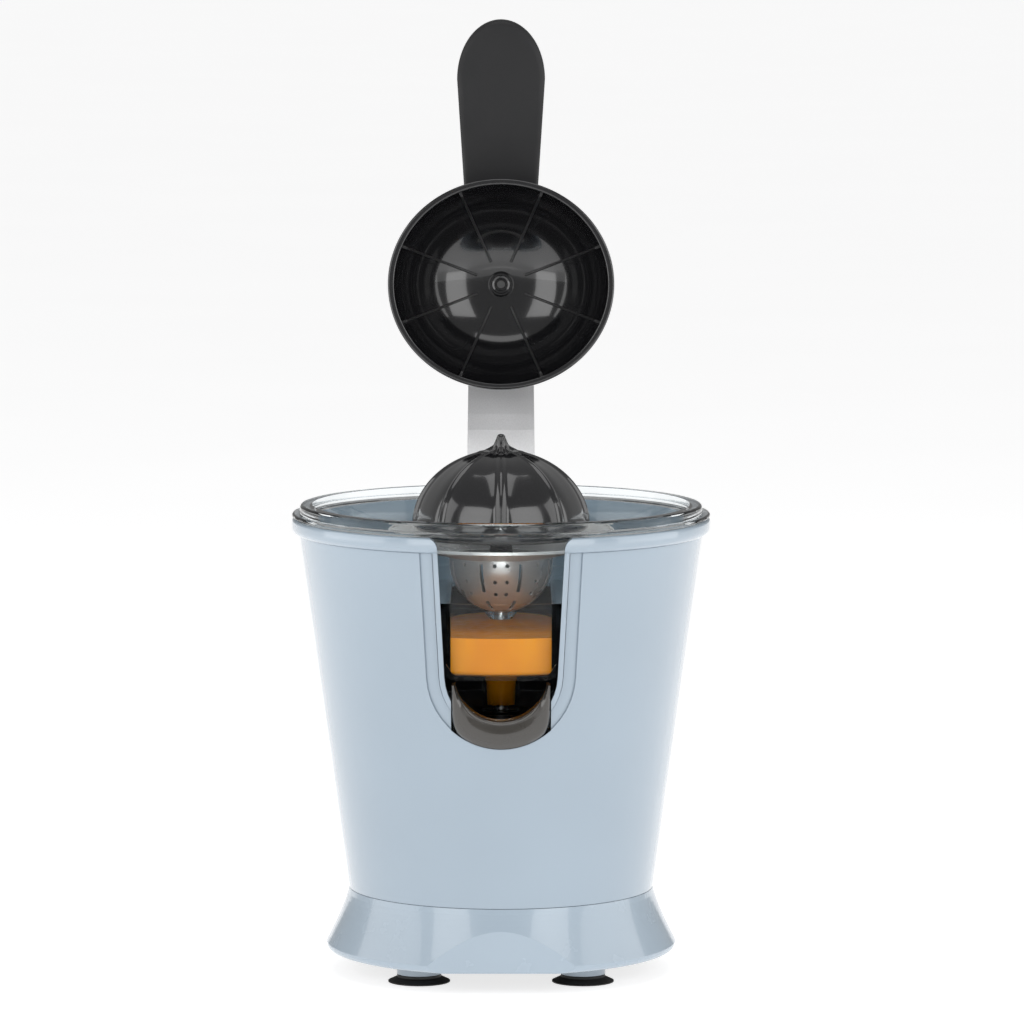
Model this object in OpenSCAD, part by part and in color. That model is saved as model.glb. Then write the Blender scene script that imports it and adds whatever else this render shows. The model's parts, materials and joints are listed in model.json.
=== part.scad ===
// Electric citrus press juicer with a lever arm, a clear juice container and a
// gear-driven reamer. The reamer's axis is Z and the counter is Z = 0.

/* [Body] */
// Outer diameter of the rim and of the container's flange
rim_d = 190; // [178:1:228]
// Height of the underside of the rim band
rim_z = 200; // [198:1:240]
// Height of the rim band
rim_h = 6.9; // [5:0.1:9]
// Diameter of the shell at its top
shell_top_d = 183.2; // [172:0.1:190]
// Diameter of the shell at the seam over the skirt
shell_base_d = 138.6; // [134:0.1:160]
// Height of the seam between the skirt and the shell
seam_z = 38.2; // [36:0.1:44]
// Wall of the moulded shell, skirt and liner
shell_wall = 2.4; // [2:0.1:3]
// Diameter of the skirt where it is widest
skirt_d = 159.2; // [154:0.1:190]
// Distance from the axis to the flat arch facet at the front of the skirt
facet_y = 72.4; // [70:0.1:78]

/* [Notch] */
// Radius of the notch lip's round bottom, on its inner edge
lip_r = 25.2; // [25:0.1:27]
// Width of the notch lip
lip_w = 2.3; // [1.8:0.1:3]
// Radius of the shallow frame around the lip
frame_r = 33.3; // [31:0.1:38]
// Widening of the notch towards its top
notch_lean = 3; // [1:0.5:4]
// Drop from the rim band to the centre of the notch's round bottom
notch_drop = 55; // [52:1:60]

/* [Container] */
// Wall of the clear container
clear_wall = 2; // [1.6:0.1:2.4]
// Half width of the juice trough
trough_x = 24.4; // [22:0.1:24.4]
// Drop from the rim band to the underside of the trough
trough_drop = 58; // [50:1:60]
// Drop from the rim band to the floor beside the trough
floor_drop = 23.4; // [20:0.1:28]
// Height of the container's flange
flange_h = 6.1; // [4:0.1:8]

/* [Press] */
// Largest radius of the reamer
reamer_r = 40.5; // [34:0.5:44]
// Height of the reamer's spire over the rim band
spire_rise = 45; // [42:0.5:46]
// Outer radius of the strainer's flange
strainer_r = 52; // [46:0.5:60]
// Radius of the strainer's round bowl
bowl_r = 23.5; // [20:0.5:26]
// Outer radius of the press dome across the arm
dome_r = 53.3; // [52:0.1:60]
// Depth of the press dome
dome_depth = 50; // [49:0.5:54]

/* [Lever arm] */
// Angle that the arm swings from closed to open
arm_swing = 94; // [80:1:96]
// Width of the arm at its hinge
arm_w = 32; // [28:0.5:36]
// Thickness of the arm
arm_t = 12; // [10:0.5:12]
// Radius of the hinge pin
pin_r = 2.5; // [2:0.1:3]
// Half width of the handle where it is widest
handle_x = 21; // [19:0.5:24]

/* [Drive] */
// Radius of the drive shaft in the gears
shaft_r = 4; // [3.6:0.1:4.2]
// Travel of the shaft when the reamer is pressed
press_travel = 2; // [1.5:0.1:2.2]
// Module of the output stage
out_module = 1; // [0.9:0.05:1]
// Module of the motor stage
motor_module = 0.8; // [0.7:0.05:0.8]
// Height of each gear's teeth
gear_h = 8; // [7:0.5:8]

/* [Feet] */
// Radius of each suction cup
cup_r = 14; // [11:0.5:15]
// Distance of each foot from the axis, along X and along Y
foot_x = 37; // [34:0.5:40]

/* [Hidden] */
$fn = 96;
body_blue = [0.70, 0.76, 0.82];
skirt_blue = [0.67, 0.73, 0.79];
black = [0.10, 0.10, 0.10];
dark_grey = [0.20, 0.20, 0.21];
silver = [0.80, 0.81, 0.82];
steel = [0.72, 0.72, 0.74];
clear = [0.85, 0.90, 0.93, 0.4];
smoke = [0.35, 0.34, 0.33, 0.6];
copper = [0.72, 0.42, 0.20];
brass = [0.80, 0.66, 0.36];
nylon = [0.92, 0.91, 0.86];

// Clearances: assembled faces, moving faces, and running shafts (radial)
seat_gap = 0.2;
move_gap = 0.4;
run_gap = 0.05;
far = 300;

// Body levels and radii
rim_r = rim_d / 2;
shell_top_r = shell_top_d / 2;
shell_base_r = shell_base_d / 2;
shell_lean = (shell_top_r - shell_base_r) / (rim_z - seam_z);
rim_top_z = rim_z + rim_h;
liner_inset = shell_wall + seat_gap;
liner_wall = 2.2;
liner_bottom_z = rim_z - 32;
lip_proud = 0.8;
frame_recess = 0.8;
notch_z = rim_z - notch_drop;
notch_out = rim_r + 10;
skirt_r = skirt_d / 2;
skirt_bottom_z = 9.5;
skirt_wide_z = 12.9;
plate_t = 2.4;
plate_z = skirt_bottom_z + 1.5;
skirt_boss_r = 63;
boss_angles = [30, 150, 210, 330];
gland_z = plate_z + 12;
gland_y = skirt_curve((seam_z - gland_z + 6.2) / (seam_z - skirt_wide_z)) + seat_gap + 2.4;

// Motor deck: the black tub that the container stands in
deck_z = rim_z - 82;
deck_t = 2.5;
deck_r = shell_r(deck_z) - liner_inset;
well_seat_r = 12;
post_r = 40;

// Spout at the foot of the notch
spout_x = 22;
spout_in_r = 20.7;
spout_proud = 2.5;
spout_depth = 9;
spout_top_z = rim_z - trough_drop - 1.2;
spout_back_y = shell_r(notch_z - frame_r) - spout_depth - seat_gap;

// Drive shaft radius above the gearbox
shaft_top_r = 3.2;

// Clear container
cont_inset = liner_inset + liner_wall + 0.8;
cont_floor_z = rim_z - floor_drop;
trough_z = rim_z - trough_drop;
trough_corner = 3;
trough_step = 0.6;
well_top_r = 9.1;
well_bottom_r = 7.9;
well_bottom_z = deck_z + 1.8;
tower_r = 5.2;
tower_bore_r = shaft_top_r + move_gap;
tower_top_z = rim_z - 12;
strainer_seat_r = 7.2;
flange_z = rim_top_z + 0.3;

// Strainer
sheet = 0.8;
bowl_z = rim_z - 12.7;
bowl_bottom_z = bowl_z - bowl_r;
strainer_z = rim_z - 4;
slot_w = 1.7;

// Reamer and its drive hub
reamer_z = rim_z - 1.5;
hub_r = 4.9;
shaft_hex_r = 2.6;
hub_z = tower_top_z + press_travel + move_gap;
hub_h = 22;
reamer_wall = 2.6;
rib_w = 3.2;
panel_depth = 1.6;
reamer_foot_h = 4.5;
reamer_dome_h = 35.5;
spire_z = rim_z + spire_rise;

// Hinge and lever arm
hinge_y = rim_r + 9;
hinge_z = rim_z + 1.6;
knuckle_r = 8;
ear_t = 4.5;
ear_in = arm_w / 2 + move_gap;
bracket_w = 2 * (ear_in + ear_t);
bracket_bottom_z = rim_z - 38;
bracket_out = hinge_y + knuckle_r;
screw_sink = 3;
dome_rim_z = rim_z + 4;
dome_flat = 0.93;
dome_wall = 3;
arm_wall = 2.5;
dome_back = dome_rim_z + dome_depth - hinge_z;
arm_reach = hinge_y;
arm_back = dome_back + arm_t / 2 + 8.9;
handle_tip = arm_reach + 122.4;
handle_end = 28;
handle_low = arm_reach + 40;
handle_t = arm_t + 5.6;

// Gear train: motor pinion, compound idler, output gear
out_teeth = 50;
idler_small_teeth = 12;
idler_big_teeth = 48;
pinion_teeth = 12;
idler_y = out_module * (out_teeth + idler_small_teeth) / 2;
motor_link = motor_module * (idler_big_teeth + pinion_teeth) / 2;
motor_dir = 210;
motor_x = motor_link * cos(motor_dir);
motor_y = idler_y + motor_link * sin(motor_dir);
motor_turn = atan2(-motor_y, -motor_x);
cover_t = 2.4;
cover_z = deck_z - deck_t - 9;
out_gear_z = cover_z - 3 - gear_h;
big_gear_z = out_gear_z - gear_h - 2;
base_z = big_gear_z - 5.5;
base_t = 3;
bush_r = shaft_r + 3;
switch_floor_z = base_z - 15;
axle_r = 2;
shaft_top_z = hub_z + 18;
shaft_step_z = deck_z - 4;
shaft_bottom_z = base_z - 12;
gearbox_r = shell_r(base_z) - shell_wall - 5;

// Motor
rotor_r = 2;
stator_x = 26;
stator_y = 22;
stator_h = 22;
core_r = 14;
rotor_gap = 0.5;
coil_w = 6.4;
coil_l = 17;
coil_web = 1;
coil_room = 0.3;
coil_x = core_r + rotor_gap + coil_web + coil_room + coil_w / 2;
bearing_r = 5;
motor_top_z = base_z - 18;
stator_z = motor_top_z - 10 - stator_h;
fan_z = stator_z - 9;

function shell_r(z) = shell_base_r + (z - seam_z) * shell_lean;
function skirt_curve(t) = shell_base_r + (skirt_r - shell_base_r) * pow(t, 1.25);
function arc(x, y, r, a0, a1, n = 8) =
    [for (i = [0:n]) let (a = a0 + (a1 - a0) * i / n) [x + r * cos(a), y + r * sin(a)]];
function bezier(p, t) = pow(1 - t, 3) * p[0] + 3 * pow(1 - t, 2) * t * p[1]
    + 3 * (1 - t) * t * t * p[2] + t * t * t * p[3];
function slope(p, t) = let (d = 3 * pow(1 - t, 2) * (p[1] - p[0])
    + 6 * (1 - t) * t * (p[2] - p[1]) + 3 * t * t * (p[3] - p[2])) d / norm(d);

// A solid cone that follows the body's outer surface, set in by inset
module cone(z0, z1, inset) {
    translate([0, 0, z0])
        cylinder(h = z1 - z0, r1 = shell_r(z0) - inset, r2 = shell_r(z1) - inset);
}

module cone_wall(z0, z1, inset, wall) {
    difference() {
        cone(z0, z1, inset);
        cone(z0 - 1, z1 + 1, inset + wall);
    }
}

// The notch's outline in the XZ plane: a round bottom whose tangents widen upwards
module notch_outline(r, top_z) {
    half = r / cos(notch_lean) + (top_z - notch_z) * tan(notch_lean);
    polygon(concat(arc(0, notch_z, r, 180 + notch_lean, 360 - notch_lean, 20),
        [[half, top_z], [-half, top_z]]));
}

// Extrudes an XZ outline towards the front, from y = -near to y = -reach
module to_front(near, reach) {
    translate([0, -near, 0])
        rotate([90, 0, 0])
            linear_extrude(reach - near)
                children();
}

// Extrudes an outline whose axes are Y and Z along X, centred on x = 0
module across(w) {
    rotate([90, 0, 90])
        linear_extrude(w, center = true)
            children();
}

module ring(r_out, r_in, h) {
    difference() {
        cylinder(h = h, r = r_out);
        translate([0, 0, -1])
            cylinder(h = h + 2, r = r_in);
    }
}

module spout_outline(gap) {
    intersection() {
        translate([0, notch_z])
            circle(frame_r + gap);
        translate([-spout_x - gap, notch_z - frame_r - 5])
            square([2 * (spout_x + gap), spout_top_z + gap - notch_z + frame_r + 5]);
    }
}

// ---- Housing ----

module outer_shell() {
    color(body_blue)
        difference() {
            union() {
                cone_wall(seam_z, rim_z - seat_gap, 0, shell_wall);
                cone_wall(base_z - 4, base_z - seat_gap, shell_wall - 0.5, 8);
                cone_wall(seam_z, seam_z + 5, shell_wall - 0.5, 3);
            }
            to_front(shell_base_r / 2, notch_out)
                notch_outline(lip_r + lip_w + seat_gap, rim_z + 1);
            to_front(shell_base_r / 2, notch_out)
                spout_outline(seat_gap);
            intersection() {
                to_front(shell_base_r / 2, notch_out)
                    notch_outline(frame_r, rim_z + 1);
                cone_wall(notch_z - frame_r, rim_z + 1, -1, 1 + frame_recess);
            }
            bracket_holes(1.7);
        }
}

module rim_liner() {
    color(body_blue)
        difference() {
            union() {
                rotate_extrude()
                    polygon(concat(
                        [[shell_top_r - liner_inset - liner_wall / 2, rim_top_z]],
                        [[shell_top_r - liner_inset - liner_wall / 2, rim_z]],
                        arc(rim_r - 3, rim_z + 3, 3, -90, 0),
                        arc(rim_r - 1, rim_top_z - 1, 1, 0, 90, 3)));
                cone_wall(liner_bottom_z, rim_top_z, liner_inset, liner_wall);
                intersection() {
                    difference() {
                        to_front(shell_base_r / 2, notch_out)
                            notch_outline(lip_r + lip_w, rim_z + 1);
                        to_front(0, notch_out)
                            spout_outline(seat_gap);
                    }
                    cone_wall(notch_z - frame_r, rim_z + 1, -lip_proud,
                        lip_proud + liner_inset + liner_wall);
                }
            }
            to_front(0, notch_out)
                notch_outline(lip_r, rim_top_z + 1);
        }
}

function skirt_outline(inset, low) =
    let (steps = 10)
    concat([[0, seam_z - seat_gap + inset]],
        [for (i = [0:steps]) let (t = i / steps)
            [skirt_curve(t) - inset, seam_z - seat_gap - (seam_z - seat_gap - skirt_wide_z) * t]],
        inset > 0 ? [[skirt_r - inset, low]] : arc(skirt_r - 3, skirt_wide_z - 0.4, 3, 0, -90),
        [[0, low]]);

module skirt_solid(inset, low) {
    intersection() {
        rotate_extrude()
            polygon(skirt_outline(inset, low));
        translate([-far, inset - facet_y, -1])
            cube(2 * far);
    }
}

module base_skirt() {
    color(skirt_blue) {
        difference() {
            skirt_solid(0, skirt_wide_z - 3.4);
            skirt_solid(shell_wall, 0);
            cylinder(h = far, r = shell_base_r - shell_wall);
            translate([0, far, gland_z])
                rotate([90, 0, 0])
                    cylinder(h = far, r = 5 + seat_gap);
        }
        difference() {
            intersection() {
                skirt_solid(1, skirt_wide_z - 3.4);
                for (a = boss_angles)
                    rotate([0, 0, a])
                        translate([skirt_boss_r, 0, plate_z + plate_t + seat_gap]) {
                            cylinder(h = 14, r = 4);
                            translate([0, -1, 0])
                                cube([far, 2, 12]);
                        }
            }
            for (a = boss_angles)
                rotate([0, 0, a])
                    translate([skirt_boss_r, 0, 0])
                        cylinder(h = plate_z + plate_t + 12, r = 1.55);
        }
    }
}

module bottom_plate() {
    color(dark_grey)
        difference() {
            intersection() {
                translate([0, 0, plate_z])
                    cylinder(h = plate_t, r = skirt_r - shell_wall - 0.6);
                translate([-far, shell_wall + seat_gap - facet_y, 0])
                    cube(2 * far);
            }
            for (a = boss_angles)
                rotate([0, 0, a])
                    translate([skirt_boss_r, 0, 0])
                        cylinder(h = far, r = 1.8);
            feet()
                cylinder(h = far, r = 2.2);
            for (x = [-24:6:24])
                translate([x - 1.2, -12, 0])
                    cube([2.4, 24, 40]);
            translate([motor_x, motor_y, 0])
                for (a = [0:60:300])
                    rotate([0, 0, a])
                        translate([14, 0, 0])
                            cylinder(h = far, r = 2.5);
        }
}

module feet() {
    for (x = [-foot_x, foot_x])
        for (y = [-foot_x, foot_x])
            translate([x, y, 0])
                children();
}

module foot_collars() {
    color(body_blue)
        feet()
            translate([0, 0, 3.7])
                ring(10.2, 2.2, plate_z - 3.7 - seat_gap);
}

module suction_cups() {
    color(black)
        feet()
            difference() {
                union() {
                    rotate_extrude()
                        polygon(concat([[0, 0], [cup_r, 0], [cup_r, 0.5]],
                            [[10, 2.4], [10, 3.5], [0, 3.5]]));
                    translate([0, 0, 3])
                        cylinder(h = 6, r = 2);
                }
                translate([0, 0, -1])
                    cylinder(h = 2.2, r1 = 8, r2 = 4);
                translate([0, 0, 3])
                    cylinder(h = 12, r = 1.2);
            }
}

module foot_screws() {
    color(steel)
        feet()
            translate([0, 0, plate_z + plate_t + seat_gap]) {
                cylinder(h = 1.6, r = 3.6);
                translate([0, 0, -7.5])
                    cylinder(h = 8, r = 1.1);
            }
}

module base_screws() {
    color(steel)
        for (a = boss_angles)
            rotate([0, 0, a])
                translate([skirt_boss_r, 0, plate_z - 1.4 - seat_gap]) {
                    difference() {
                        cylinder(h = 1.4, r = 3.2);
                        translate([0, 0, -0.5])
                            cube([0.8, 4, 2], center = true);
                    }
                    translate([0, 0, 1])
                        cylinder(h = 12, r = 1.45);
                }
}

module cord_gland() {
    color(black)
        translate([0, gland_y, gland_z])
            rotate([90, 0, 0])
                difference() {
                    union() {
                        cylinder(h = 11, r = 5);
                        cylinder(h = 2.4, r = 6.2);
                    }
                    translate([0, 0, -1])
                        cylinder(h = 20, r = 3.2);
                }
}

module motor_deck() {
    wall_top = liner_bottom_z - seat_gap;
    color(black)
        difference() {
            union() {
                cone_wall(deck_z - deck_t, wall_top, liner_inset, liner_wall);
                translate([0, 0, deck_z - deck_t])
                    cylinder(h = deck_t, r = deck_r - 1);
                translate([0, 0, deck_z - 0.5])
                    ring(well_seat_r + 2, well_seat_r, 2);
                translate([0, 0, deck_z - 0.5])
                    ring(well_seat_r + 9, well_seat_r + 7, 1.2);
                for (a = [45:90:315])
                    rotate([0, 0, a])
                        translate([post_r, 0, cover_z + cover_t + seat_gap])
                            cylinder(h = deck_z - deck_t - cover_z - cover_t + 0.5, r = 4);
            }
            translate([0, 0, deck_z - 6])
                cylinder(h = 10, r = 7);
            to_front(spout_back_y, notch_out)
                notch_outline(lip_r + lip_w + seat_gap, rim_z + 1);
            to_front(spout_back_y, notch_out)
                spout_outline(seat_gap);
            for (a = [45:90:315])
                rotate([0, 0, a])
                    translate([post_r, 0, 0])
                        cylinder(h = deck_z - deck_t, r = 1.6);
        }
}

module shaft_seal() {
    color(dark_grey)
        translate([0, 0, deck_z - deck_t])
            difference() {
                union() {
                    cylinder(h = deck_t + 0.8, r = 7 - seat_gap);
                    translate([0, 0, deck_t + 0.2])
                        cylinder(h = 0.8, r = 8.4);
                }
                translate([0, 0, -1])
                    cylinder(h = 20, r = shaft_top_r + move_gap);
            }
}

module pour_spout() {
    color(smoke)
        difference() {
            intersection() {
                to_front(spout_back_y + seat_gap, notch_out)
                    spout_outline(0);
                cone(notch_z - frame_r - 1, rim_z, -spout_proud);
            }
            to_front(spout_back_y + spout_depth / 3, notch_out)
                translate([0, notch_z])
                    circle(spout_in_r);
            to_front(0, spout_back_y + spout_depth / 3 + 1)
                translate([0, notch_z])
                    circle(spout_in_r);
        }
}

module hinge_bracket() {
    inner_y = shell_r(bracket_bottom_z) - 6;
    color(silver)
        difference() {
            union() {
                across(bracket_w)
                    polygon([[inner_y, bracket_bottom_z], [hinge_y - knuckle_r, bracket_bottom_z],
                        [bracket_out, bracket_bottom_z + 20],
                        [bracket_out, hinge_z - knuckle_r - move_gap],
                        [inner_y, hinge_z - knuckle_r - move_gap]]);
                for (s = [-1, 1])
                    translate([s * (ear_in + ear_t / 2), 0, 0]) {
                        across(ear_t)
                            translate([hinge_y - knuckle_r, hinge_z - knuckle_r - 2])
                                square([2 * knuckle_r, knuckle_r + 2]);
                        translate([0, hinge_y, hinge_z])
                            rotate([0, 90, 0])
                                cylinder(h = ear_t, r = knuckle_r, center = true);
                    }
            }
            cone(seam_z, rim_z + 20, -seat_gap);
            translate([0, hinge_y, hinge_z])
                rotate([0, 90, 0])
                    cylinder(h = far, r = pin_r + 0.02, center = true);
            bracket_holes(1.7);
        }
}

// Holes for the screws that hold the bracket, from inside the shell
module bracket_holes(r) {
    for (x = [-12, 12])
        for (z = [bracket_bottom_z + 8, bracket_bottom_z + 20])
            translate([x, shell_r(z) - 12, z])
                rotate([-90, 0, 0])
                    cylinder(h = 20, r = r);
}

module bracket_screws() {
    color(steel)
        for (x = [-12, 12])
            for (z = [bracket_bottom_z + 8, bracket_bottom_z + 20])
                translate([x, shell_r(z) - screw_sink, z])
                    rotate([-90, 0, 0])
                        cylinder(h = 10, r = 1.5);
}

module hinge_pin() {
    color(steel)
        translate([0, hinge_y, hinge_z])
            rotate([0, 90, 0])
                cylinder(h = bracket_w, r = pin_r, center = true);
}

module pin_caps() {
    color(dark_grey)
        for (s = [-1, 1])
            translate([s * (bracket_w / 2 + seat_gap), hinge_y, hinge_z])
                rotate([0, s * 90, 0])
                    cylinder(h = 2.4, r1 = 6.5, r2 = 5.5);
}

// ---- Gearbox ----

module gearbox_base() {
    color(dark_grey)
        difference() {
            union() {
                translate([0, 0, base_z])
                    cylinder(h = base_t, r = gearbox_r + 3);
                for (a = [45:90:315])
                    rotate([0, 0, a])
                        translate([post_r, 0, base_z])
                            cylinder(h = cover_z - base_z - seat_gap, r = 4);
            }
            translate([0, 0, base_z - 1])
                cylinder(h = 20, r = bush_r + 0.02);
            translate([motor_x, motor_y, base_z - 1])
                cylinder(h = 20, r = rotor_r + 2);
            translate([0, idler_y, base_z - 1])
                cylinder(h = 20, r = axle_r + 0.02);
            for (a = [45:90:315])
                rotate([0, 0, a])
                    translate([post_r, 0, cover_z - 14])
                        cylinder(h = 20, r = 1.5);
            motor_posts()
                cylinder(h = far, r = 1.7);
        }
}

module gearbox_cover() {
    color(dark_grey)
        translate([0, 0, cover_z])
            difference() {
                union() {
                    cylinder(h = cover_t, r = 33);
                    translate([-7, 0, 0])
                        cube([14, idler_y + 8, cover_t]);
                    for (a = [45:90:315])
                        rotate([0, 0, a]) {
                            translate([0, -5, 0])
                                cube([post_r, 10, cover_t]);
                            translate([post_r, 0, 0])
                                cylinder(h = cover_t, r = 5);
                        }
                }
                translate([0, 0, -1])
                    cylinder(h = 20, r = bush_r + 0.02);
                translate([0, idler_y, -1])
                    cylinder(h = 20, r = axle_r + 0.02);
                for (a = [45:90:315])
                    rotate([0, 0, a])
                        translate([post_r, 0, -1])
                            cylinder(h = 20, r = 1.6);
            }
}

module gearbox_screws() {
    color(steel)
        for (a = [45:90:315])
            rotate([0, 0, a])
                translate([post_r, 0, cover_z - 12])
                    cylinder(h = 19, r = 1.4);
}

module output_bushes() {
    color(brass)
        for (z = [base_z, cover_z - 0.6])
            translate([0, 0, z])
                ring(bush_r, shaft_r + run_gap, base_t);
}

module idler_axle() {
    color(steel)
        translate([0, idler_y, base_z])
            cylinder(h = cover_z + cover_t - base_z, r = axle_r);
}

// Involute gear outline, one tooth centred on +X, with a little backlash
module gear_outline(teeth, module_mm) {
    pressure = 25;
    pitch = module_mm * teeth / 2;
    base = pitch * cos(pressure);
    tip = pitch + 0.95 * module_mm;
    root = pitch - 1.2 * module_mm;
    half_tooth = 90 / teeth - 0.06 * 180 / (PI * pitch);
    inv_pitch = (tan(pressure) - pressure * PI / 180) * 180 / PI;
    start_r = max(base, root);
    steps = 4;
    flank = [for (i = [0:steps]) let (
        r = start_r + (tip - start_r) * i / steps,
        roll = acos(min(1, base / r)),
        inv = (tan(roll) - roll * PI / 180) * 180 / PI,
        a = half_tooth + inv_pitch - inv) [r, a]];
    points = [for (t = [0:teeth - 1]) let (c = 360 * t / teeth) each concat(
        [[root, c - flank[0][1]]],
        [for (p = flank) [p[0], c - p[1]]],
        [for (i = [steps:-1:0]) [flank[i][0], c + flank[i][1]]],
        [[root, c + flank[0][1]]])];
    polygon([for (p = points) [p[0] * cos(p[1]), p[0] * sin(p[1])]]);
}

module gear(teeth, module_mm, h, turn) {
    rotate([0, 0, turn])
        linear_extrude(h)
            gear_outline(teeth, module_mm);
}

// Turn of a follower that puts it in mesh with a driver seen in direction dir
function mesh_turn(z1, turn1, z2, dir) = dir + 180 - 180 / z2 + (dir - turn1) * z1 / z2;

idler_turn = mesh_turn(out_teeth, 0, idler_small_teeth, 90);
pinion_turn = mesh_turn(idler_big_teeth, idler_turn, pinion_teeth, motor_dir);

module output_gear() {
    color(nylon)
        difference() {
            union() {
                translate([0, 0, out_gear_z])
                    gear(out_teeth, out_module, gear_h, 0);
                translate([0, 0, base_z + base_t + move_gap])
                    cylinder(h = cover_z - 0.6 - base_z - base_t - 2 * move_gap, r = 7.5);
            }
            shaft_section(base_z, cover_z, run_gap);
            for (a = [30:60:330])
                rotate([0, 0, a])
                    translate([15.5, 0, out_gear_z - 1])
                        cylinder(h = gear_h + 2, r = 4);
        }
}

// The drive shaft's section inside the output gear: round with one flat
module shaft_section(z0, z1, gap) {
    translate([0, 0, z0])
        intersection() {
            cylinder(h = z1 - z0, r = shaft_r + gap);
            translate([-far, -far, 0])
                cube([2 * far, far + shaft_r - 0.8 + gap, z1 - z0]);
        }
}

module idler_gear() {
    color(nylon)
        translate([0, idler_y, 0])
            difference() {
                union() {
                    translate([0, 0, out_gear_z])
                        gear(idler_small_teeth, out_module, gear_h, idler_turn);
                    translate([0, 0, big_gear_z])
                        gear(idler_big_teeth, motor_module, gear_h, idler_turn);
                    translate([0, 0, base_z + base_t + move_gap])
                        cylinder(h = out_gear_z - base_z - base_t, r = 4.4);
                    translate([0, 0, out_gear_z + gear_h - 0.5])
                        cylinder(h = cover_z - move_gap - out_gear_z - gear_h + 0.5, r = 4.2);
                }
                cylinder(h = far, r = axle_r + run_gap);
            }
}

module pinion_gear() {
    color(brass)
        translate([motor_x, motor_y, big_gear_z])
            difference() {
                gear(pinion_teeth, motor_module, gear_h, pinion_turn);
                translate([0, 0, -1])
                    cylinder(h = gear_h + 2, r = rotor_r + 0.02);
            }
}

// ---- Motor ----

module motor_posts() {
    for (x = [-stator_x + 4, stator_x - 4])
        for (y = [-stator_y + 4, stator_y - 4])
            motor_at(0)
                translate([x, y, 0])
                    children();
}

// The motor's long axis points at the drive shaft, so that its posts pass beside it
module motor_at(z) {
    translate([motor_x, motor_y, z])
        rotate([0, 0, motor_turn])
            children();
}

module motor_stator() {
    color(steel)
        motor_at(stator_z)
            difference() {
                translate([-stator_x, -stator_y, 0])
                    cube([2 * stator_x, 2 * stator_y, stator_h]);
                translate([0, 0, -1])
                    cylinder(h = stator_h + 2, r = core_r + rotor_gap);
                for (s = [-1, 1])
                    translate([s * coil_x - coil_w / 2 - coil_room, -coil_l / 2 - coil_room, -1])
                        cube([coil_w + 2 * coil_room, coil_l + 2 * coil_room, stator_h + 2]);
                for (x = [-stator_x + 4, stator_x - 4])
                    for (y = [-stator_y + 4, stator_y - 4])
                        translate([x, y, -1])
                            cylinder(h = far, r = 1.7);
            }
}

module field_coils() {
    color(copper)
        for (s = [-1, 1])
            motor_at(stator_z - 4)
                translate([s * coil_x - coil_w / 2, -coil_l / 2, 0])
                    cube([coil_w, coil_l, stator_h + 8]);
}

module motor_bridge(z) {
    motor_at(z)
        difference() {
            union() {
                translate([-stator_x, -7, 0])
                    cube([2 * stator_x, 14, 2.5]);
                for (s = [-1, 1])
                    translate([s * (stator_x - 4) - 4, -stator_y, 0])
                        cube([8, 2 * stator_y, 2.5]);
            }
            translate([0, 0, -1])
                cylinder(h = 10, r = bearing_r + 0.02);
            for (x = [-stator_x + 4, stator_x - 4])
                for (y = [-stator_y + 4, stator_y - 4])
                    translate([x, y, -1])
                        cylinder(h = far, r = 1.7);
        }
}

module upper_bridge() {
    color(silver)
        motor_bridge(motor_top_z);
}

module lower_bridge() {
    color(silver)
        motor_bridge(fan_z - 4.5);
}

module motor_bearings() {
    color(brass)
        for (z = [motor_top_z, fan_z - 4.5])
            motor_at(z)
                ring(bearing_r, rotor_r + run_gap, 2.5);
}

module motor_screws() {
    color(steel)
        motor_posts()
            translate([0, 0, fan_z - 6.2]) {
                cylinder(h = base_z + base_t + 1 - fan_z + 6.2, r = 1.5);
                cylinder(h = 1.6, r = 3);
            }
}

module motor_spacers() {
    color(steel)
        motor_posts() {
            translate([0, 0, fan_z - 2 + seat_gap])
                ring(3, 1.7, stator_z - fan_z + 2 - 2 * seat_gap);
            translate([0, 0, stator_z + stator_h + seat_gap])
                ring(3, 1.7, motor_top_z - stator_z - stator_h - 2 * seat_gap);
        }
}

module motor_grommets() {
    color(black)
        motor_posts()
            translate([0, 0, motor_top_z + 2.5 + seat_gap])
                ring(4, 1.7, base_z - motor_top_z - 2.5 - 2 * seat_gap);
}

module brush_holders() {
    color(black)
        for (s = [-1, 1])
            motor_at(motor_top_z - 7.5)
                translate([-3, s * 10.8 - 4.5, 0])
                    cube([6, 9, 7.5 - seat_gap]);
}

module rotor_shaft() {
    color(steel)
        motor_at(fan_z - 6)
            cylinder(h = big_gear_z + gear_h - fan_z + 6, r = rotor_r);
}

module rotor_core() {
    color(copper)
        motor_at(stator_z)
            difference() {
                union() {
                    cylinder(h = stator_h, r = core_r);
                    translate([0, 0, -3])
                        cylinder(h = stator_h + 5, r = core_r - 4);
                }
                for (a = [0:30:330])
                    rotate([0, 0, a])
                        translate([core_r - 2, -0.8, -1])
                            cube([4, 1.6, stator_h + 2]);
                translate([0, 0, -5])
                    cylinder(h = far, r = rotor_r + 0.02);
            }
}

module commutator() {
    color(copper)
        motor_at(motor_top_z - 7.5)
            ring(6, rotor_r + 0.02, 6);
}

module cooling_fan() {
    color(dark_grey)
        motor_at(fan_z)
            difference() {
                union() {
                    cylinder(h = 5, r = 5);
                    cylinder(h = 1, r = 16);
                    for (a = [0:40:320])
                        rotate([0, 0, a])
                            translate([4, -0.6, 0])
                                cube([12, 1.2, 4.5]);
                }
                translate([0, 0, -1])
                    cylinder(h = 10, r = rotor_r + 0.02);
            }
}

// ---- Drive shaft and start switch ----

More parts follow.
